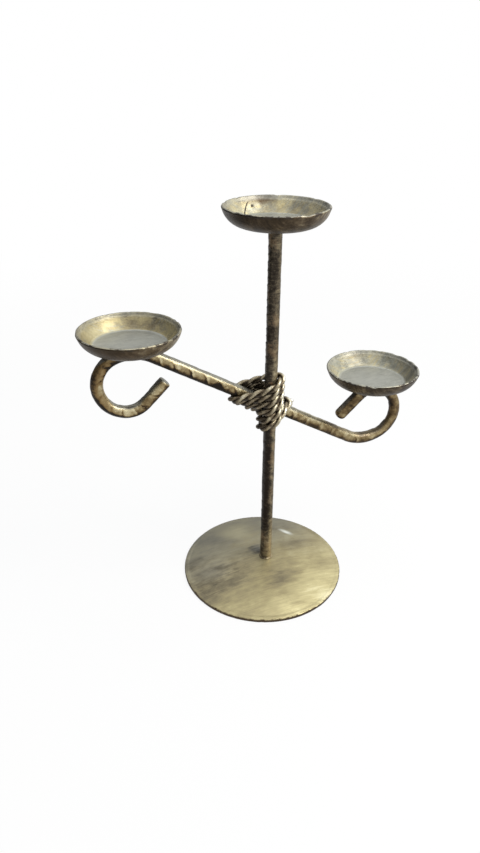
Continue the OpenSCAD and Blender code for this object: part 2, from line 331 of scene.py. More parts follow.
def rubbed_arm():
    """Black rod rubbed with gold: a painted sky reflection on top, painted shade underneath, bright
    and dark hammer lines.
    """
    f = Finish("rubbed_arm")
    up = f.facing(UP)
    run = f.measured("run")
    around = f.measured("around")
    high_side = f.step(run, 30.0, 6.0)
    hook = f.step(f.math("ABSOLUTE", f.along(ARM)[0]), 31.0, 42.0)
    blotch = f.noise(4.2, rough=0.55)
    patch = f.noise(1.5, (7, 2, 5))
    grain = f.noise(0.45, (3, 1, 7))
    crown = f.step(up, 0.20, 0.46)
    top = f.step(up + patch.sway(0.16), 0.48, 0.66)
    under = f.step(up + patch.sway(0.2), 0.02, -0.42)
    below = f.step(around, -0.35, 0.35) * f.step(around, 1.9, 1.0)
    # Painted light on the side towards the lamp and along the crown; painted shade underneath and,
    # from the low pan, on the right arm's top; the hammer marks' painted highlights and shade
    wear_and_light = (0.555 + blotch.sway(0.60) + patch.sway(0.50 - hook * 0.15) + grain.sway(0.30)
            + f.facing(LIGHT_SIDE) * 0.17 + crown * (0.04 + high_side * 0.08)
            - under * (0.20 + high_side * 0.24) - top * (1 - high_side) * 0.10 - hook * 0.10
            + f.measured("tone") * 0.09 + f.measured("glint") * 0.20
            - f.measured("mark") * (0.26 + high_side * 0.40))
    for place, half, change in ARM_TONES:
        wear_and_light = wear_and_light + f.band(run, place, half * 1.4, half * 0.6) * change
    sides = {"below": below, "top": top, "crown": crown}
    for place, reach, core, side, change, all_round in ARM_PATCHES:
        wear_and_light = wear_and_light + f.band(run, place, reach, core) * (sides[side] * change + all_round)
    # A dark spot in the hammer mark next to the binding
    dark_spot = f.spot(DARK_SPOT_SIZE, DARK_SPOT, (0, ARM_SLOPE, 0))
    wear_and_light = wear_and_light - f.step(dark_spot + patch.sway(0.8), 1.2, 0.5) * 0.40
    colour = f.tones(wear_and_light, ARM_RAMP)
    warm = f.band(run, OCHRE_RUN, 14.0, 7.0) * f.step(wear_and_light, 0.26, 0.45)
    colour = f.mix(warm * f.step(wear_and_light, 0.85, 0.60) * 0.45, colour, OCHRE)
    # The top takes a painted sky reflection, paler where a painted highlight lies near the high pan
    bare_and_glare = f.step(run, -23.0, -34.0) * f.step(run, -46.0, -38.0) * f.step(up, 0.86, 0.97)
    colour = f.mix(top * (0.30 + high_side * 0.50), colour, f.mix(bare_and_glare, SKY_REFLECTION, PALE_SKY_REFLECTION))
    metal = f.step(wear_and_light, 0.20, 0.60)
    return f.metal(colour, 0.62 + metal * 0.18, 0.46 - metal * 0.10 + grain.sway(0.3),
                   grain * 0.35 + patch * 0.65, 0.14, 0.25)


STEM_RAMP = ((0.10, BLACK), (0.28, (0.040, 0.032, 0.023)), (0.48, (0.120, 0.098, 0.066)),
             (0.68, (0.26, 0.215, 0.135)), (0.95, (0.50, 0.43, 0.28)))
# Stretches of the stem that are rubbed more or less: middle above the floor, half and how much
STEM_TONES = ((18, 5, 0.05), (53, 4, -0.06), (84, 4, 0.08), (94, 6, -0.06), (120, 7, 0.04))


def blackened_stem():
    """Brown-black rod, blackest on its side towards the high pan, where shade is also painted, rubbed
    to gold at its foot.
    """
    f = Finish("blackened_stem")
    z = f.along((STEM.x, STEM.y, STEM_FOOT))[2]
    left = f.step(f.facing(AWAY_FROM_LIGHT), -0.12, 0.72)
    foot = f.step(z, 22.0, 3.0)
    bound = f.band(z, CROSSING - STEM_FOOT, 20.0, 12.0)
    above = f.step(z, 68.0, 86.0)
    blotch = f.noise((5.0, 5.0, 7.0), (2, 6, 1))
    patch = f.noise((1.8, 1.8, 1.4), (7, 2, 5))
    ring = f.noise((3.0, 3.0, 0.34), (5, 1, 2))
    grain = f.noise(0.4, (3, 1, 7))
    # Painted shade on the side away from the light, and the hammer marks' painted highlights and
    # shade
    wear_and_light = (0.49 + blotch.sway(1.00) + patch.sway(0.70) + ring.sway(0.50) + grain.sway(0.52)
            - left * (0.44 - above * 0.24 - foot * 0.20)
            + foot * 0.31 + bound * 0.14 + above * 0.02
            + f.measured("tone") * 0.03 + f.measured("glint") * 0.10 - f.measured("mark") * 0.12)
    for height, half, change in STEM_TONES:
        wear_and_light = wear_and_light + f.band(z, height - STEM_FOOT, half * 1.4, half * 0.6) * change
    colour = f.tones(wear_and_light, STEM_RAMP)
    rust = f.step(blotch + grain.sway(0.5), 0.50, 0.66) * (0.35 + bound * 0.35)
    colour = f.mix(rust * f.step(wear_and_light, 0.15, 0.40), colour, RUST)
    return f.metal(colour, 0.70, 0.44 + grain.sway(0.3),
                   grain * 0.35 + patch * 0.35 + ring * 0.3, 0.14, 0.2)


DISC_RAMP = ((0.05, (0.060, 0.055, 0.042)), (0.32, (0.212, 0.182, 0.112)),
             (0.58, (0.392, 0.337, 0.184)), (0.82, (0.61, 0.545, 0.30)),
             (1.0, (0.84, 0.78, 0.50)))
COOL_OLIVE = (0.33, 0.33, 0.285)
DING_HIGHLIGHT = (0.86, 0.88, 0.80)
STREAK_TURN = math.radians(5)
# Smudges on the disc, and the stem's painted shadows: the first is its contact shadow at the foot,
# the one at (-10.5, 15) its long shadow. Centre from the disc's, half length, half width, turn in
# degrees, strength
SMUDGES_AND_SHADOWS = (((-0.5, 4.8), 3.4, 3.0, 5, 0.45), ((-20.5, -2.5), 8.5, 5.5, 5, 0.22),
           ((5.5, -12.5), 9.5, 3.6, 16, 0.15), ((14.0, 5.0), 9.0, 3.5, 5, 0.08),
           ((-15.0, -9.0), 9.0, 4.0, 5, 0.16), ((-23.0, -14.0), 4.0, 5.5, 40, 0.12),
           ((-10.5, 15.0), 8.5, 2.2, -37, 0.11), ((4.0, -24.5), 6.0, 0.8, -8, 0.08))
# Brighter patches of the disc: centre, half size and strength
GLOWS = (((17.0, -20.5), 11.5, 0.18), ((-4.0, 16.0), 10.0, 0.28), ((7.0, 3.5), 5.5, 0.22),
         ((25.0, 13.0), 7.0, 0.08), ((1.0, -28.0), 9.0, 0.13), ((-4.0, 24.0), 11.0, 0.10))
# A dent and a chip of the edge, from the disc's centre, and how they lie
DING = Vector((14.6, 13.6))
DING_TURN = math.radians(-50)
CHIP = Vector((-9.8, -28.9))
CHIP_TURN = math.radians(-20)


def brushed_disc():
    """Olive gold brushed one way over black, smudged, with painted light, the stem's painted shadows,
    a painted highlight in the dent and a dark edge.
    """
    f = Finish("brushed_gold_disc")
    turn = (0, 0, STREAK_TURN)
    cloud = f.noise((13, 7, 12), (11, 3, 0), turn, rough=0.55)
    mottle = f.noise((4.5, 2.6, 4), (5, 1, 0), turn)
    streak = f.noise((13, 0.9, 5), (0, 0, 0), turn, detail=4, rough=0.62)
    hair = f.noise((6, 0.26, 4), (4, 9, 0), turn)
    pits = f.noise(0.55, (1, 8, 2), detail=2, rough=0.5)
    x, y = f.along(DISC)[:2]

    def patch(size, spot, height=0.0, lie=0.0):
        """Distance from a spot on the disc, in units of size."""
        return f.spot(size, (DISC.x + spot[0], DISC.y + spot[1], height), (0, 0, lie))

    # Painted light: the disc is lighter towards the right and the front, where the light falls on the
    # dome
    tone = (0.49 + x * 0.0036 - y * 0.0060 + cloud.sway(0.62) + mottle.sway(0.34)
            + streak.sway(0.22) + hair.sway(0.26) - f.step(pits, 0.60, 0.75) * 0.07)
    for spot, size, strength in GLOWS:
        tone = tone + f.step(patch(size, spot) + mottle.sway(0.8), 1.3, 0.1) * strength
    # Smudges, and the stem's painted shadows among them, darken the disc
    for spot, length, width, lie, strength in SMUDGES_AND_SHADOWS:
        reach = (patch((length, width, 60), spot, 0.0, math.radians(lie))
                 + streak.sway(0.7) + mottle.sway(0.8))
        tone = tone - f.step(reach, 1.35, 0.15) * strength
    colour = f.tones(tone, DISC_RAMP)
    cool = f.step(y * 0.8 - x * 0.2 + cloud.sway(26) + mottle.sway(22), -6.0, 16.0)
    colour = f.mix(cool * 0.45, colour, COOL_OLIVE)
    ding = patch((3.6, 1.35, 9), DING, DISC_RISE, DING_TURN)
    # A painted highlight in the dent, where it catches the light
    colour = f.mix(f.step(ding + mottle.sway(0.5), 1.2, 0.2), colour, DING_HIGHLIGHT)
    chip = patch((3.6, 0.9, 9), CHIP, 0.0, CHIP_TURN)
    edge = patch(DISC_R, (0, 0)) + f.noise(1.6, rough=0.65).sway(0.04)
    bare_and_glare = f.math("MAXIMUM", f.step(edge, 0.985, 1.0), f.step(chip + streak * 0.5, 1.4, 0.9) * 0.8)
    bare_and_glare = f.math("MAXIMUM", bare_and_glare, f.step(f.facing(UP), 0.5, 0.1))
    colour = f.mix(bare_and_glare, colour, UMBER)
    return f.metal(colour, 0.55 + bare_and_glare * 0.15, 0.42 + hair.sway(0.25) + bare_and_glare * 0.08,
                   hair * 0.6 + streak * 0.4, 0.05)


GOLD_WALL_RAMP = ((0.08, UMBER), (0.32, (0.200, 0.165, 0.095)),
                  (0.58, (0.44, 0.375, 0.205)), (0.95, (0.78, 0.72, 0.46)))
GREY_WALL_RAMP = ((0.08, UMBER), (0.32, (0.178, 0.176, 0.146)),
                  (0.58, (0.375, 0.382, 0.325)), (0.95, (0.72, 0.735, 0.66)))
PAN_FLOOR_RAMP = ((0.10, (0.21, 0.21, 0.185)), (0.5, (0.345, 0.35, 0.315)), (0.9, (0.47, 0.47, 0.42)))
OUTSIDE_RAMP = ((0.06, (0.022, 0.016, 0.010)), (0.34, (0.048, 0.034, 0.020)),
                (0.58, (0.112, 0.084, 0.052)), (0.90, (0.31, 0.265, 0.175)))
CREASE_HIGHLIGHT = (0.78, 0.77, 0.58)
GINGER = (0.105, 0.062, 0.024)
BARE_IRON = (0.040, 0.032, 0.026)
BRUSH_TURN = math.radians(12)
SHADE_IN = 0.75             # how the wall faces where it is shaded: inwards and up
SHADE_UP = 0.66

# Each pan: how yellow its wall is, how much lighter its outside is painted towards the right, where
# the light falls, and the sides of its wall with painted shade (+) and painted light (-): the side as
# an angle from the right towards the back, and how much darker its lower and its upper half are
# painted
PAN_LOOKS = {
    "top_pan": (0.15, 0.36, ((45, 0.06, 0.0), (97, 0.09, 0.38), (125, -0.20, -0.19))),
    "high_pan": (0.42, 0.62, ((0, -0.05, -0.05), (68, 0.12, 0.0), (118, -0.14, -0.04),
                              (148, -0.12, -0.12))),
    "low_pan": (-0.10, -0.02, ((0, 0.08, 0.08), (97, 0.10, 0.13), (130, -0.05, -0.14),
                               (150, -0.10, -0.06))),
}
# A fine crack and a pit in one pan's wall: TURN is the direction in which each lies from the
# pan's middle
FLAWED_PAN = "top_pan"
CRACK_TURN = math.radians(113)
CRACK_LEAN = 1.14           # how far the crack runs sideways for each mm of height
CRACK_START = 3.6
CRACK_TOP = 4.6
PIT_TURN = math.radians(104)
PIT_R = 13.9
PIT_Z = 2.9


def flaws(f, centre, seat, z):
    """1 in the crack and the pit of a pan's wall."""
    out, across = f.along((centre.x, centre.y, seat), (0, 0, CRACK_TURN))[:2]
    crack = (f.band(across + z * CRACK_LEAN, CRACK_START, 0.42, 0.14)
             * f.step(out, 10.0, 11.0) * f.step(z, CRACK_TOP, CRACK_TOP - 0.8))
    pit = f.spot(0.62, (centre.x + PIT_R * math.cos(PIT_TURN),
                        centre.y + PIT_R * math.sin(PIT_TURN), seat + PIT_Z))
    return f.math("MAXIMUM", crack, f.step(pit, 1.1, 0.7))


def worn_pan(node):
    """Worn gold inside the pan, with painted light and shade on its wall, and grey on its floor and
    lip; brown-black outside, painted lighter to the right, with chips.
    """
    gold, rub_and_light, shades = PAN_LOOKS[node]
    f = Finish("worn_gold_" + node)
    centre = middle(node)
    seat = corner(node, 0).z
    inner = f.measured("inner")
    x, y, z = f.along((centre.x, centre.y, seat))
    grain = f.noise(0.6)
    blotch = f.noise(4.0, centre, rough=0.55)
    brush = f.noise((5.0, 0.5, 3.0), (2, 5, 1), (0, 0, BRUSH_TURN))
    scratch = f.noise((2.2, 2.2, 0.35), (8, 1, 4))
    high = f.step(z, 2.6, 4.8)

    wall = (0.45 + blotch.sway(0.60) + grain.sway(0.24)
            - f.step(scratch, 0.54, 0.70) * high * (0.18 + gold * 0.3))
    # Painted shade (+) and painted light (-) on the wall's sides
    for side, low_change, high_change in shades:
        side = math.radians(side)
        inwards = (-SHADE_IN * math.cos(side), -SHADE_IN * math.sin(side), SHADE_UP)
        shade = f.step(f.facing(inwards), 0.88, 0.99)
        wall = wall - shade * (low_change + high * (high_change - low_change))
    greyed = f.step(blotch * 0.5 + brush * 0.5, 0.68 - gold * 0.3, 0.36 - gold * 0.3)
    wall = f.mix(greyed, f.tones(wall, GOLD_WALL_RAMP), f.tones(wall, GREY_WALL_RAMP))

    grey = f.tones(0.5 + brush.sway(0.7) + blotch.sway(0.4) + grain.sway(0.3), PAN_FLOOR_RAMP)
    lip = f.step(z + blotch.sway(1.0), PAN_H - 1.7, PAN_H - 0.7)
    inside = f.mix(f.math("MAXIMUM", f.measured("floor"), lip * 0.45), wall, grey)
    # A painted highlight along the crease at the wall's left and back, where it catches the light
    crease = f.band(z, PAN_SHEET + 0.30, 0.36, 0.04) * f.step(x - y * 0.4, -3.0, -11.0)
    inside = f.mix(crease * inner * 0.28, inside, CREASE_HIGHLIGHT)

    # The outside is painted lighter on the side towards the right, where the light falls
    skin = (0.37 + blotch.sway(1.05) + brush.sway(0.80) + grain.sway(0.50)
            + f.facing((1.0, -0.1, 0.1)) * rub_and_light)
    outside = f.mix(max(0.0, gold) * 0.5, f.tones(skin, OUTSIDE_RAMP), GINGER)

    shown = f.step(inner + grain.sway(0.55) + blotch.sway(0.5), 0.40, 0.58)
    colour = f.mix(shown, outside, inside)
    chip = f.step(f.noise((2.6, 2.6, 1.6), (3, 3, 3)), 0.50, 0.57)
    chip = chip * (0.25 + f.step(y, 4.0, -6.0) * 0.65)
    rim = f.step(z + grain.sway(0.8), PAN_H - 1.2, PAN_H - 0.5)
    colour = f.mix(chip * rim, colour, BARE_IRON)
    if node == FLAWED_PAN:
        colour = f.mix(flaws(f, centre, seat, z) * inner, colour, BLACK)
    return f.metal(colour, 0.72 - shown * 0.17, 0.44 - shown * 0.04 + grain.sway(0.25),
                   grain * 0.3 + blotch * 0.7, 0.12, 0.3)


WIRE_RAMP = ((0.05, (0.030, 0.022, 0.014)), (0.26, (0.076, 0.056, 0.035)),
             (0.46, (0.180, 0.142, 0.090)), (0.66, (0.40, 0.350, 0.240)), (0.92, (0.74, 0.71, 0.60)))


def bronze_wire():
    """Dark wire, rubbed bright where the rope's strands stand out, and painted lighter on the side
    towards the lamp.
    """
    f = Finish("dark_bronze_wire")
    grain = f.noise(0.5)
    blotch = f.noise(3.0, (5, 5, 5), rough=0.55)
    wear_and_light = (0.08 + f.measured("crest") * 0.45 + blotch.sway(0.8) + grain.sway(0.5)
            + f.facing(LIGHT_SIDE) * 0.30)
    rub_and_light = f.step(wear_and_light, 0.3, 0.7)
    return f.metal(f.tones(wear_and_light, WIRE_RAMP), 0.65 + rub_and_light * 0.15, 0.44 - rub_and_light * 0.08 + grain.sway(0.2),
                   grain, 0.08)


BEAD_RAMP = ((0.15, BLACK), (0.36, UMBER), (0.56, BRONZE), (0.80, GOLD))


def black_bead():
    """Blackened weld metal with a little gold on it, painted lighter on the side towards the lamp."""
    f = Finish("blackened_bead")
    grain = f.noise(0.5, rough=0.65)
    wear_and_light = 0.44 + f.noise(1.8).sway(0.9) + grain.sway(0.4) + f.facing(LIGHT_SIDE) * 0.20
    return f.metal(f.tones(wear_and_light, BEAD_RAMP), 0.70, 0.46 + grain.sway(0.2), grain, 0.12)


# ---- Making pieces ----

def finish_piece(bm, name, node, material):
    """Turns a mesh in millimetres into a finished piece that stands for a node."""
    bmesh.ops.remove_doubles(bm, verts=bm.verts, dist=0.0005)
    bmesh.ops.recalc_face_normals(bm, faces=bm.faces)
    bmesh.ops.scale(bm, vec=(MM,) * 3, verts=bm.verts)
    for face in bm.faces:
        face.smooth = True
    piece = add_mesh(bm, name, material)
    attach(piece, "root")
    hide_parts(node)


def layers(bm, *names):
    """Number layers on the mesh's points."""
    return [bm.verts.layers.float.new(name) for name in names]


def upright(place, direction, side):
    """A frame at a place: Z along the direction, X towards the side."""
    z = direction.normalized()
    x = (side - side.dot(z) * z).normalized()
    turn = Matrix((x, z.cross(x), z)).transposed().to_4x4()
    return Matrix.Translation(place) @ turn


def sweep(bm, stations, sides, shape):
    """Extrudes a ring through the stations and closes both ends.

    shape(i, angle) gives the ring's radius at station i. The mesh gets two number layers, with
    each point's angle round the ring and its station, and they are returned.
    """
    around, station = layers(bm, "around", "station")
    ring = bmesh.ops.create_circle(bm, segments=sides, radius=1)["verts"]
    for v in ring:
        v[around] = math.atan2(v.co.y, v.co.x)
    edges = list({e for v in ring for e in v.link_edges})
    ends = [edges]
    for i, here in enumerate(stations):
        if i:
            made = bmesh.ops.extrude_edge_only(bm, edges=edges)["geom"]
            ring = [g for g in made if isinstance(g, bmesh.types.BMVert)]
            edges = [g for g in made if isinstance(g, bmesh.types.BMEdge)
                     and all(v in ring for v in g.verts)]
        for v in ring:
            angle = v[around]
            r = shape(i, angle)
            v[station] = i
            v.co = here @ Vector((r * math.cos(angle), r * math.sin(angle), 0))
    ends.append(edges)
    for loop in ends:
        face = bmesh.ops.contextual_create(bm, geom=loop)["faces"]
        bmesh.ops.poke(bm, faces=face)
    return around, station


# ---- Hammered rods ----

ROD_SIDES = 44
SWAGE_R = 3.2               # radius, round the rod, of the hollow that a blow leaves
STEEP = 0.13                # share of a mark's length in which it drops to its full depth
RISE = 0.85                 # share of its length where it turns up again
LATE_DEPTH = 0.65           # share of its depth that is left there
# A mark's bright start is a painted highlight on rubbed metal; its dark end is dark paint left in the
# hollow with painted shade
GLINT_AT = 0.12             # share of its length where it shines
MARK_AT = 0.94              # share of its length where it is blackest
FULL_BLOW = 0.25            # depth from which a mark shines and blackens in full
MARK_MARGIN = 2.5           # how far beyond its ends a slanted mark may reach
STEM_SEED = 9
STEM_BLOW_PITCH = 4.2
# Runs along the arm from its middle, towards the low pan
HOOK_RUN = ARM_HALF + sum(radius * turn for radius, turn in BENDS)
HIGH_END = -HOOK_RUN - HIGH_LEG
LOW_END = HOOK_RUN + LOW_LEG
ARM_SEED = 4
ARM_BLOW_PITCH = 5.85
ARM_BLOW_START = -37.9      # one blow starts here, and the others a pitch apart
HOOK_MARK = -77.0           # the one deep mark in the high hook's bend
DARK_SPOT_RUN = -15.6            # where a dark spot lies in the hammer mark next to the binding
THIN_FROM = 46.0            # where a hook gets thinner, and where it is full again
THIN_TO = 84.0
HIGH_HOOK_THIN = 0.09
LOW_HOOK_THIN = 0.18


class Blow:
    """One hammer mark: where it starts along the rod, its angle round it, depth and length."""

    def __init__(self, run, angle, depth, length, slant=0.0, tone=0.0):
        self.run = run
        self.angle = angle
        self.depth = depth
        self.length = length
        self.slant = slant       # how far its far side lags along the rod, like a twist
        self.tone = tone         # how bright its hollow is rubbed, from -1 to 1

    def strike(self, run, angle):
        """The rod's radius under the mark, the share of its length and the turn from its middle."""
        turn = math.remainder(angle - self.angle, math.tau)
        if abs(turn) > math.pi / 2:
            return None
        t = (run - self.run - self.slant * math.sin(turn)) / self.length
        if not 0 < t < 1:
            return None
        if t < STEEP:
            share = t / STEEP
        elif t < RISE:
            share = 1 - (1 - LATE_DEPTH) * (t - STEEP) / (RISE - STEEP)
        else:
            share = LATE_DEPTH * (1 - t) / (1 - RISE)
        behind = SWAGE_R - ROD_R + self.depth * share
        across = behind * math.sin(turn)
        return math.sqrt(SWAGE_R ** 2 - across ** 2) - behind * math.cos(turn), t, turn


def smooth(t):
    """Rises from 0 to 1, level at both ends."""
    t = min(1.0, max(0.0, t))
    return t * t * (3 - 2 * t)


def peak(number, centre, half):
    """1 at a centre, falling straight to 0 at half from it."""
    return max(0.0, 1 - abs(number - centre) / half)


def struck(blows, run, angle):
    """Radius of the rod at a point, and its share of the mark's tone, painted highlight at the start
    and dark paint with painted shade at the end.
    """
    radius, tone, glint, mark = ROD_R, 0.0, 0.0, 0.0
    for blow in blows:
        found = blow.strike(run, angle)
        if found and found[0] < radius:
            radius, t, turn = found
            inside = min(1.0, (ROD_R - radius) / (0.2 * blow.depth))
            strong = min(1.0, blow.depth / FULL_BLOW)
            # The painted highlight fades, and the painted shade deepens, towards the rod's lower side
            low = (1 + math.sin(turn)) / 2
            tone = inside * blow.tone
            glint = strong * peak(t, GLINT_AT, 0.17) * (1.1 - 0.7 * low)
            mark = strong * peak(t, MARK_AT, 0.16) * (0.35 + 0.75 * low)
    return radius, tone, glint, mark


def near(blows, run):
    """The blows that may reach a run along the rod."""
    return [b for b in blows if b.run - MARK_MARGIN < run < b.run + b.length + MARK_MARGIN]


def hammered_rod(name, node, material, stations, runs, blows, lost_at):
    """A rod through stations at those runs along it; lost_at says how much thinner it is there."""
    bm = bmesh.new()
    tone_layer, glint_layer, mark_layer, run_layer = layers(bm, "tone", "glint", "mark", "run")
    close = [near(blows, run) for run in runs]

    def radius(i, angle):
        round_it = Vector((runs[i] * 0.55, 1.3 * math.cos(angle), 1.3 * math.sin(angle)))
        lumps = 0.05 * noise.noise(round_it) + 0.025 * noise.noise(round_it * 3.1)
        return struck(close[i], runs[i], angle)[0] - lost_at(runs[i]) + lumps

    around, station = sweep(bm, stations, ROD_SIDES, radius)
    for v in bm.verts:
        i = round(v[station])
        v[tone_layer], v[glint_layer], v[mark_layer] = struck(close[i], runs[i], v[around])[1:]
        v[run_layer] = runs[i]
    bmesh.ops.smooth_vert(bm, verts=bm.verts, factor=0.5, use_axis_x=True, use_axis_y=True,
                          use_axis_z=True)
    finish_piece(bm, name, node, material)


def chamfered(left):
    """How much thinner the rod is at a distance from a sawn end."""
    return max(0.0, END_CHAMFER - left) ** 2 / END_CHAMFER


def domed(left):
    """How much thinner the rod is at a distance from an end ground to a dome."""
    return ROD_R * (1 - math.sqrt(1 - max(0.0, 1 - left / END_DOME) ** 2.4))


def drawn_thin(run):
    """How much thinner the arm is in its hooks, where it was drawn round."""
    inside = smooth((abs(run) - THIN_FROM) / 10) * smooth((THIN_TO - abs(run)) / 8)
    return (LOW_HOOK_THIN if run > 0 else HIGH_HOOK_THIN) * inside


def spread_between(first, last, count):
    """Numbers from first to last in equal steps."""
    return [first + (last - first) * i / count for i in range(count + 1)]


def steps(first, last, gap, fine):
    """Numbers from first to last a gap apart, and closer over a fine stretch at both ends."""
    small = [fine * t ** 2 for t in spread_between(0, 1, 6)[:-1]]
    count = math.ceil((last - first - 2 * fine) / gap)
    inner = spread_between(first + fine, last - fine, count)
    return [first + s for s in small] + inner + [last - s for s in reversed(small)]


def arm_point(run):
    """Place and heading in the arm's plane at a run from its middle, towards the low pan."""
    side = 1 if run >= 0 else -1
    left = abs(run)
    heading = -ARM_SLOPE
    length = min(left, ARM_HALF)
    place = length * Vector((math.cos(heading), math.sin(heading)))
    left -= length
    for radius, turn in BENDS:
        angle = min(left / radius, turn)
        centre = place + radius * Vector((-math.sin(heading), math.cos(heading)))
        heading += angle
        place = centre + radius * Vector((math.sin(heading), -math.cos(heading)))
        left -= angle * radius
    place += left * Vector((math.cos(heading), math.sin(heading)))
    return side * place, heading


def arm_place(run):
    """A frame on the arm's axis: Z along the rod, X towards the front."""
    place, heading = arm_point(run)
    return upright(ARM + Vector((place.x, 0, place.y)),
                   Vector((math.cos(heading), 0, math.sin(heading))), FRONT)


DARK_SPOT = arm_place(DARK_SPOT_RUN) @ Vector((ROD_R, 1.1, 0))


def stray_blows(chance, run, angle, turns, spread, depths, length, slant=0.0):
    """Light blows further round the rod than the main one."""
    for further in turns:
        place = run + chance.uniform(0, 3)
        around = angle + further + chance.uniform(-spread, spread)
        yield Blow(place, around, chance.uniform(*depths), length, slant)


def make_arm(material):
    """The arm: one row of deep blows along its front and stray ones round it."""
    chance = random.Random(ARM_SEED)
    blows = []
    run = ARM_BLOW_START - int((ARM_BLOW_START - HIGH_END) / ARM_BLOW_PITCH) * ARM_BLOW_PITCH
    while run < LOW_END - ARM_BLOW_PITCH:
        bent = ARM_HALF < abs(run) < HOOK_RUN - 4
        angle = math.radians(chance.uniform(8, 26) if bent else chance.uniform(0, 14))
        depth = chance.uniform(0.26, 0.38) * (0.35 if bent else 0.8 if run > 0 else 1.0)
        slant = 1.5 if run < 0 else 0.4
        start = run + chance.uniform(-0.35, 0.35)
        blows.append(Blow(start, angle, depth, ARM_BLOW_PITCH - 0.1, slant, chance.uniform(-1, 1)))
        blows += stray_blows(chance, start, angle, (2.2, 3.9), 0.4, (0.05, 0.2), 4.0)
        run += ARM_BLOW_PITCH
    blows.append(Blow(HOOK_MARK - MARK_AT * ARM_BLOW_PITCH, math.radians(12), 0.30,
                      ARM_BLOW_PITCH, 0.6, 0.8))
    runs = steps(HIGH_END, LOW_END, 0.28, END_DOME)
    stations = [arm_place(run) for run in runs]
    hammered_rod("hammered_arm", "arm", material, stations, runs, blows,
                 lambda run: drawn_thin(run) + (domed(LOW_END - run) if run > 0
                                                else chamfered(run - HIGH_END)))


def make_stem(material):
    """The stem: shallow blows on its side towards the high pan, closer above the binding."""
    chance = random.Random(STEM_SEED)
    blows = []
    run = STEM_FOOT + 5
    while run < STEM_TOP - 5:
        above = run > CROSSING + 15
        pitch = STEM_BLOW_PITCH * (0.57 if above else 1.0)
        angle = math.radians((-98 if above else -80) + chance.uniform(-10, 10))
        blows.append(Blow(run, angle, chance.uniform(0.14, 0.24), pitch, 0.6, chance.uniform(-1, 1)))
        blows += stray_blows(chance, run, angle, (1.9, 3.6), 0.5, (0.04, 0.14),
                             STEM_BLOW_PITCH - 0.6, -0.5)
        run += pitch * chance.uniform(0.96, 1.04)
    runs = steps(STEM_FOOT, STEM_TOP, 0.3, END_CHAMFER)
    stations = [upright(Vector((STEM.x, STEM.y, run)), UP, FRONT) for run in runs]
    hammered_rod("hammered_stem", "stem", material, stations, runs, blows,
                 lambda run: 0.0)


# ---- Turned pieces ----

def arc(centre, radius, first, last, count):
    """Points on an arc in the half section's plane, angles in degrees."""
    angles = [math.radians(a) for a in spread_between(first, last, count)]
    return [(centre[0] + radius * math.cos(a), centre[1] + radius * math.sin(a)) for a in angles]


def turned(profile, centre, turns):
    """Spins a half section of (radius, height) points round an upright axis."""
    bm = bmesh.new()
    verts = [bm.verts.new((r, 0, z)) for r, z in profile]
    edges = [bm.edges.new(pair) for pair in zip(verts, verts[1:])]
    bmesh.ops.spin(bm, geom=verts + edges, cent=(0, 0, 0), axis=(0, 0, 1),
                   angle=math.tau, steps=turns, use_merge=True)
    bmesh.ops.remove_doubles(bm, verts=bm.verts, dist=0.001)
    bmesh.ops.translate(bm, vec=centre, verts=bm.verts)
    return bm


def spaced(points, gap):
    """The same outline with points no further apart than a gap."""
    result = [points[0]]
    for a, b in zip(points, points[1:]):
        count = max(1, math.ceil(math.dist(a, b) / gap))
        result += [(a[0] + (b[0] - a[0]) * i / count, a[1] + (b[1] - a[1]) * i / count)
                   for i in range(1, count + 1)]
    return result


def ripple(v, size, seed):
    """Noise from about -1 to 1 at a point, with waves of a size."""
    return noise.noise(Vector(v.co) / size + Vector((seed, seed * 2.3, 0)))


def push_out(v, centre, amount):
    """Moves a point away from the upright axis through a centre."""
    v.co += Vector((v.co.x - centre.x, v.co.y - centre.y, 0)).normalized() * amount


DISC_EDGE_R = 0.40          # rounding of the disc's edge
DISC_RIM = 1.5              # width of the rim that stays free of dents
DISC_SINK = 0.14            # how far the beaten top lies below the construction's
DING_SIZE = (2.4, 0.9)
DING_DEPTH = 0.22


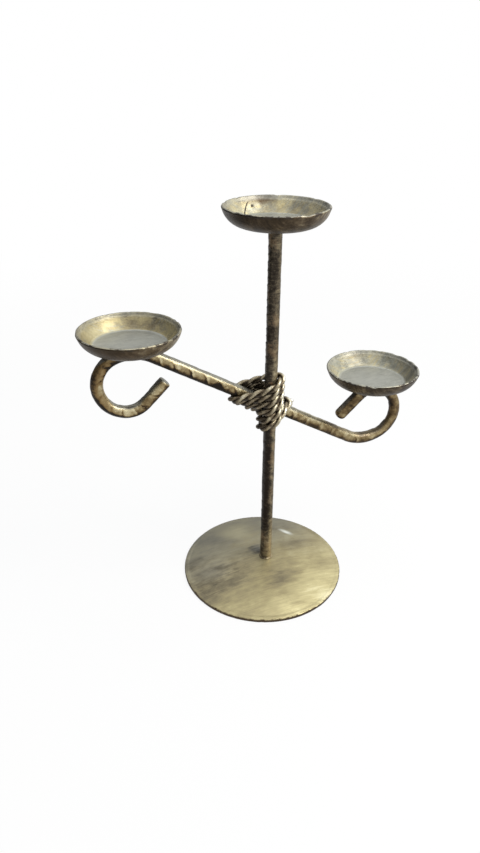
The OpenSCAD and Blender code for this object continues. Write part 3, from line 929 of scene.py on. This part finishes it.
def make_disc(material):
    """The pressed disc: a shallow dome with a wavy surface, a dent and a chipped edge."""
    depth = DISC_RISE - DISC_SHEET
    dome_r = (DISC_R ** 2 + depth ** 2) / (2 * depth)
    dome_z = DISC_RISE - dome_r
    flank_r = DISC_R - DISC_EDGE_R
    half = math.degrees(math.asin(flank_r / dome_r))
    hollow_r = dome_r - DISC_SHEET
    hollow_half = math.degrees(math.acos(-dome_z / hollow_r))
    land = hollow_r * math.sin(math.radians(hollow_half))
    top = arc((0, dome_z), dome_r, 90, 90 - half, 70)
    lip = arc((flank_r, top[-1][1] - DISC_EDGE_R), DISC_EDGE_R, 80, 0, 5)
    foot = arc((flank_r, DISC_EDGE_R), DISC_EDGE_R, 0, -90, 5)
    under = arc((0, dome_z), hollow_r, 90 - hollow_half, 90, 50)
    bm = turned(spaced(top + lip + foot + [(land, 0)] + under[1:], 0.7), (DISC.x, DISC.y, 0), 220)
    cosine, sine = math.cos(DING_TURN), math.sin(DING_TURN)
    for v in bm.verts:
        x, y = v.co.x - DISC.x, v.co.y - DISC.y
        r = math.hypot(x, y)
        if v.co.z > 0.7 and r < DISC_R - DISC_RIM:
            dx, dy = x - DING.x, y - DING.y
            long_way, short_way = dx * cosine + dy * sine, dy * cosine - dx * sine
            ding = math.exp(-(long_way / DING_SIZE[0]) ** 2 - (short_way / DING_SIZE[1]) ** 2)
            waves = 0.10 * ripple(v, 11, 1) + 0.03 * ripple(v, 3, 2)
            v.co.z -= DISC_SINK + waves + DING_DEPTH * ding
        elif r > DISC_R - DISC_RIM:
            chips = 0.10 + 0.05 * ripple(v, 6, 5) + 0.25 * max(0.0, ripple(v, 1.8, 9) - 0.25)
            push_out(v, DISC, -chips)
    finish_piece(bm, "pressed_disc", "base_disc", material)


# The outer wall is an arc from the floor's edge to the rim, bulging by PAN_BULGE
PAN_RUN = PAN_R - PAN_FLOOR_R
PAN_CHORD = math.hypot(PAN_RUN, PAN_H)
WALL_R = PAN_CHORD ** 2 / (8 * PAN_BULGE) + PAN_BULGE / 2
WALL_X = PAN_FLOOR_R + PAN_RUN / 2 - (WALL_R - PAN_BULGE) * PAN_H / PAN_CHORD
WALL_Z = PAN_H / 2 + (WALL_R - PAN_BULGE) * PAN_RUN / PAN_CHORD
LIP_R = 0.45                # rounding of the worn lip
WALL_TOP = (PAN_R - 1.65 * LIP_R, PAN_H - 0.25 * LIP_R)          # the inner wall's two ends
WALL_FOOT = (12.0, 1.3)


def wall_at(z, inset):
    """Radius of a pan's wall at a height, an inset inside its outer face."""
    return WALL_X + math.sqrt(max(0.0, (WALL_R - inset) ** 2 - (z - WALL_Z) ** 2))


def pan_profile():
    """Half section of a pan, from the middle of its underside over the lip to its floor."""
    outer = [(wall_at(z, 0), z) for z in spread_between(0.1, PAN_H - 1.1, 16)]
    lip = arc((PAN_R - LIP_R, PAN_H - LIP_R), LIP_R, -20, 130, 10)
    inner = [(WALL_TOP[0] + (WALL_FOOT[0] - WALL_TOP[0]) * t + 0.6 * t * (1 - t),
              WALL_TOP[1] + (WALL_FOOT[1] - WALL_TOP[1]) * t - 0.5 * t * (1 - t))
             for t in spread_between(0.03, 1, 20)]
    fillet = [(WALL_FOOT[0] - 1.25 * t, PAN_SHEET + 0.40 * (1 - t) ** 2)
              for t in spread_between(0.12, 1, 8)]
    return [(0, 0), (PAN_FLOOR_R - 0.3, 0)] + outer + lip + inner + fillet + [(0, PAN_SHEET)]


def flaw_depth(x, y, z):
    """How deep the crack and the pit are at a point of the wall."""
    r = math.hypot(x, y)
    turn = math.atan2(y, x)
    crack_turn = CRACK_TURN + (CRACK_START - CRACK_LEAN * z) / r
    off = abs(math.remainder(turn - crack_turn, math.tau)) * r
    pit = math.hypot(math.remainder(turn - PIT_TURN, math.tau) * r, z - PIT_Z)
    return 0.16 * peak(off, 0, 0.35) * (z < CRACK_TOP) + 0.22 * peak(pit, 0, 0.5)


def make_pan(node, seed):
    """A beaten pan with a wavy wall, a chipped rim and, in one, a crack and a pit."""
    seat = corner(node, 0).z
    centre = middle(node)
    bm = turned(spaced(pan_profile(), 0.4), (centre.x, centre.y, seat), 180)
    inner_layer, floor_layer = layers(bm, "inner", "floor")
    for v in bm.verts:
        x, y, z = v.co.x - centre.x, v.co.y - centre.y, v.co.z - seat
        r = math.hypot(x, y)
        wall = wall_at(min(z, PAN_H), PAN_SHEET / 2)
        inside = z > PAN_SHEET / 2 and (r < wall or z > PAN_H - LIP_R and r < PAN_R - 0.08)
        v[inner_layer] = 1.0 if inside else 0.0
        v[floor_layer] = 1.0 if inside and r < WALL_FOOT[0] - 0.4 else 0.0
        share = min(1.0, z / PAN_H)
        wave = ripple(v, 8, seed)
        chip = max(0.0, ripple(v, 2.4, seed + 3) - 0.12)
        if r > 1:
            push = -(0.06 + 0.07 * wave + 0.14 * chip) * share + 0.04 * ripple(v, 3, seed + 1)
            push_out(v, centre, push)
        if share > 0.8:
            v.co.z -= 0.08 * (1 + ripple(v, 10, seed + 7)) + 0.60 * chip * (share - 0.8) / 0.2
        elif inside:
            v.co.z += 0.04 * ripple(v, 4, seed + 5)
        if node == FLAWED_PAN and inside and r > 11:
            push_out(v, centre, flaw_depth(x, y, z))
    finish_piece(bm, "beaten_" + node, node, worn_pan(node))


# ---- Binding ----

WIRE_GAP = 0.33             # from one ring of a wire's mesh to the next
WIRE_SIDES = 14
WIRE_END = 0.35             # length over which a wire's end is rounded
BRIGHT_END = 3.0            # length over which the rope's last end is rubbed bright
WIRE_SWELL = 0.10           # added to the wires' radius, so that the rope looks full
WRAP_SLACK = 0.15           # how far the turns bulge clear of the rods at their two ends
WRAP_STEP = 2               # degrees from one worked-out point of the rope's axis to the next
FIRST_TURN_SAG = 0.8        # how far the rope's start has slipped down
SAG_END = 700               # degrees from the start to where it no longer has
HUG = ROD_R + 2 * WIRE_R + 0.05          # from a rod's axis to the rope's
ALONG = Vector((math.cos(TURN_SLOPE), 0, math.sin(TURN_SLOPE)))
ACROSS = Vector((-math.sin(TURN_SLOPE), 0, math.cos(TURN_SLOPE)))
STEM_OVAL = HUG / math.cos(TURN_SLOPE) + WRAP_SLACK
ARM_OVAL = HUG / math.sin(TURN_SLOPE + ARM_SLOPE) + WRAP_SLACK


def round_oval(angle, centre, half):
    """How far an oval reaches in a direction, and the point where it does."""
    x, y = math.cos(angle), math.sin(angle)
    size = math.hypot(half * x, HUG * y)
    return (centre[0] * x + centre[1] * y + size,
            Vector((centre[0] + half * half * x / size, centre[1] + HUG * HUG * y / size)))


def wrap_point(swept):
    """The rope's axis after it has swept an angle, in degrees, from its start."""
    angle = math.radians(WRAP_START - swept)
    offset = FIRST_TURN - TURN_PITCH * swept / 360 - FIRST_TURN_SAG * peak(swept, 0, SAG_END)
    on_stem = round_oval(angle, (offset * math.tan(TURN_SLOPE), 0), STEM_OVAL)
    on_arm = round_oval(angle, (-offset / math.tan(TURN_SLOPE + ARM_SLOPE), ARM.y - STEM.y),
                        ARM_OVAL)
    outer = max(on_stem, on_arm, key=lambda found: found[0])[1]
    crossing = Vector((STEM.x, STEM.y, CROSSING))
    uneven = 0.25 * noise.noise(Vector((swept / 55, 0, 0)))
    return crossing + outer.x * ALONG + Vector((0, outer.y, 0)) + (offset + uneven) * ACROSS


def rope_axis(gap):
    """Points along the rope's axis, a gap apart."""
    rough = [wrap_point(WRAP_STEP * i) for i in range(round(360 * WRAP_TURNS / WRAP_STEP) + 1)]
    points, left = [rough[0]], gap
    for a, b in zip(rough, rough[1:]):
        length = (b - a).length
        while left <= length:
            points.append(a + (b - a) * left / length)
            left += gap
        left -= length
    return points


def make_wire(name, node, phase, material):
    """One of the rope's two wires, twisted round the rope's axis from a phase."""
    rope = rope_axis(WIRE_GAP)
    last = len(rope) - 1
    reach = round(TWIST_LAY / 11 / WIRE_GAP)
    centres = []
    for i, place in enumerate(rope):
        here = upright(place, rope[min(i + reach, last)] - rope[max(i - reach, 0)], ACROSS)
        angle = phase - math.tau * i * WIRE_GAP / TWIST_LAY
        offset = (WIRE_R - 0.02) * Vector((math.cos(angle), math.sin(angle), 0))
        centres.append(here @ offset)
    stations = [upright(place, centres[min(i + 1, last)] - centres[max(i - 1, 0)], ACROSS)
                for i, place in enumerate(centres)]
    bm = bmesh.new()
    crest_layer = layers(bm, "crest")[0]

    def radius(i, angle):
        end = min(i, last - i) * WIRE_GAP
        return (WIRE_R + WIRE_SWELL) * math.sqrt(1 - 0.8 * peak(end, 0, WIRE_END) ** 2)

    station = sweep(bm, stations, WIRE_SIDES, radius)[1]
    middle_of_rods = Vector((STEM.x, (STEM.y + ARM.y) / 2, CROSSING))
    for v in bm.verts:
        i = round(v[station])
        outward = centres[i] - rope[i]
        away = (v.co - rope[i]).length / (2 * WIRE_R)
        share = 1 if outward.dot(rope[i] - middle_of_rods) > 0 else 0.4
        v[crest_layer] = away * share + peak((last - i) * WIRE_GAP, 0, BRIGHT_END)
    finish_piece(bm, name, node, material)


# ---- Beads ----

BEAD_ROOT = ROD_R - 0.5     # inner radius of the beads round the stem
BEAD_LUMPS = 0.2


def make_bead(name, node, profile, centre, material, lumps, seed):
    """A lumpy weld bead, turned from its profile."""
    bm = turned(spaced(profile, 0.2), (centre.x, centre.y, 0), 64)
    for v in bm.verts:
        push_out(v, centre, lumps * ripple(v, 1.1, seed))
        v.co.z += 0.5 * lumps * ripple(v, 0.9, seed + 2)
    finish_piece(bm, name, node, material)


def make_beads(material, rod_finish):
    """The beads at the stem's foot and under the three pans."""
    low, high = corner("stem_foot_weld", 0), corner("stem_foot_weld", 1)
    leg = high.x - STEM.x - ROD_R
    slope = arc((ROD_R, high.z - leg), 0.45 * leg, -25, 90, 10)
    profile = [(BEAD_ROOT, low.z)] + slope + [(BEAD_ROOT, high.z - 0.55 * leg)]
    make_bead("foot_bead", "stem_foot_weld", profile, STEM, rod_finish, 0.9 * BEAD_LUMPS, 2)
    foot = corner("top_pan_weld", 0).z
    slope = arc((ROD_R, foot + leg), leg, -90, 0, 10)
    profile = [(BEAD_ROOT, foot)] + slope + [(BEAD_ROOT, foot + leg)]
    make_bead("top_bead", "top_pan_weld", profile, STEM, material, BEAD_LUMPS, 6)
    for node in ("high_pan_weld", "low_pan_weld"):
        low, high = corner(node, 0), corner(node, 1)
        spread = (high.x - low.x) / 2
        profile = [(0, low.z), (spread - 0.8, low.z), (spread - 0.35, low.z + 0.5),
                   (spread, high.z), (0, high.z)]
        name = node.replace("_pan_weld", "_hook_bead")
        make_bead(name, node, profile, middle(node), material, BEAD_LUMPS, middle(node).x)


# ---- Surroundings ----

FLOOR_HALF = 60.0
FLOOR_GREY = (0.85, 0.85, 0.85)
WHITE = (1.0, 1.0, 1.0)
SKY = (0.44, 0.46, 0.49)
LAMP_AIM = Vector((0, 0, 0.07))


def seen_directly(f):
    """1 for rays that come straight, mirrored or through glass from the camera."""
    path = f.add("LightPath").outputs
    seen = f.math("MAXIMUM", path["Is Camera Ray"], path["Is Glossy Ray"])
    return f.math("MAXIMUM", seen, path["Is Transmission Ray"])


def make_floor():
    """A pale floor that fades to plain white away from the stand."""
    f = Finish("white_floor")
    away = f.step(f.spot(1000.0, (0, 0, 0)), 0.10, 0.50)
    matt = f.add("BsdfDiffuse", {"Color": FLOOR_GREY})
    white = f.add("Emission", {"Color": WHITE})
    mixed = f.add("MixShader", {0: seen_directly(f) * (0.90 + away * 0.10),
                                1: matt.outputs[0], 2: white.outputs[0]})
    bm = bmesh.new()
    bmesh.ops.create_grid(bm, x_segments=1, y_segments=1, size=FLOOR_HALF)
    add_mesh(bm, "floor", f.surface(mixed))


def make_world():
    """White where it is seen, and a soft cool light on the stand."""
    world = bpy.data.worlds.new("studio")
    bpy.context.scene.world = world
    f = Finish(world)
    level = f.mix(seen_directly(f), SKY, WHITE)
    f.surface(f.add("Background", {"Color": level}), "OutputWorld")


def make_card(name, turn, distance, width, height, grey):
    """A standing card that only polished metal sees, at a turn from the right, seen from above."""
    f = Finish(name)
    glow = f.add("Emission", {"Color": (grey,) * 3})
    bm = bmesh.new()
    bmesh.ops.create_grid(bm, x_segments=1, y_segments=1, size=0.5)
    bmesh.ops.scale(bm, vec=(width, height, 1), verts=bm.verts)
    stand = (Matrix.Rotation(math.radians(turn), 4, "Z")
             @ Matrix.Translation((distance, 0, height / 2))
             @ Matrix.Rotation(math.pi / 2, 4, "Z") @ Matrix.Rotation(math.pi / 2, 4, "X"))
    bmesh.ops.transform(bm, matrix=stand, verts=bm.verts)
    card = add_mesh(bm, name, f.surface(glow))
    for ray in ("camera", "diffuse", "transmission", "shadow"):
        setattr(card, "visible_" + ray, False)


def make_lamp(name, place, size, power, colour):
    """A soft square lamp aimed at the middle of the stand."""
    data = bpy.data.lights.new(name, "AREA")
    data.size = size
    data.energy = power
    data.color = colour
    turn = (LAMP_AIM - Vector(place)).to_track_quat("-Z", "Y").to_matrix().to_4x4()
    add_object(name, data).matrix_world = Matrix.Translation(place) @ turn


def make_studio():
    make_floor()
    make_world()
    make_card("black_card", turn=180, distance=0.42, width=0.90, height=0.42, grey=0.03)
    make_card("dark_card", turn=132, distance=0.50, width=0.55, height=0.40, grey=0.12)
    make_card("grey_card", turn=88, distance=0.55, width=0.60, height=0.36, grey=0.34)
    make_lamp("window", (0.328, -0.197, 0.480), size=0.30, power=2.7, colour=(1.0, 0.96, 0.88))
    make_lamp("ceiling", (0.02, -0.02, 0.60), size=0.40, power=0.9, colour=(0.93, 0.97, 1.0))
    bpy.context.scene.view_settings.view_transform = "Standard"


# ---- The stand ----

make_camera()
make_studio()

make_disc(brushed_disc())
stem_finish = blackened_stem()
make_stem(stem_finish)
make_arm(rubbed_arm())
for pan, pan_seed in (("top_pan", 3), ("high_pan", 8), ("low_pan", 13)):
    make_pan(pan, pan_seed)
wire = bronze_wire()
make_wire("rope_strand_a", "binding_wire_a", 0.0, wire)
make_wire("rope_strand_b", "binding_wire_b", math.pi, wire)
bead = black_bead()
make_beads(bead, stem_finish)
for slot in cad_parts["crossing_weld"].material_slots:
    slot.material = bead
